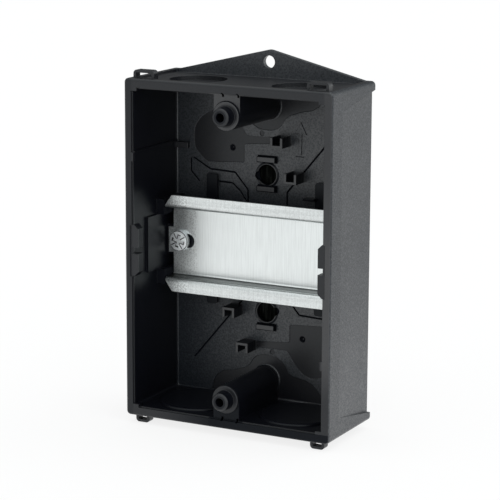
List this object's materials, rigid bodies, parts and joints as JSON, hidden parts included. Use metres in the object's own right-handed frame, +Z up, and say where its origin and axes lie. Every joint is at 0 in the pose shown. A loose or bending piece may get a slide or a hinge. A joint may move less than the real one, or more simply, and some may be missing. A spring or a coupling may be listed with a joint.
{
  "type": "switch enclosure base",
  "caption": "Open black moulded wall box for a switch, with a hanging lug, cover-screw posts and a screwed-in top-hat rail that carries clipped-in switch gear.",
  "frame": {"origin": "centre of the flat rear face that lies on the wall", "axes": "+X right, +Z up towards the hanging lug, -Y out of the open front"},
  "size_m": [0.08, 0.0385, 0.1325],
  "materials": {
    "black_plastic": "black moulded plastic with a fine spark-eroded grain and smoother patches inside",
    "zinc_rail": "bright zinc-plated sheet steel with faint rolling streaks",
    "zinc_screw": "bright zinc-plated steel screw"
  },
  "bodies": {
    "root": {"enclosure_base": "black_plastic", "mounting_rail": "zinc_rail", "rail_screws": "zinc_screw"}
  },
  "joints": []
}
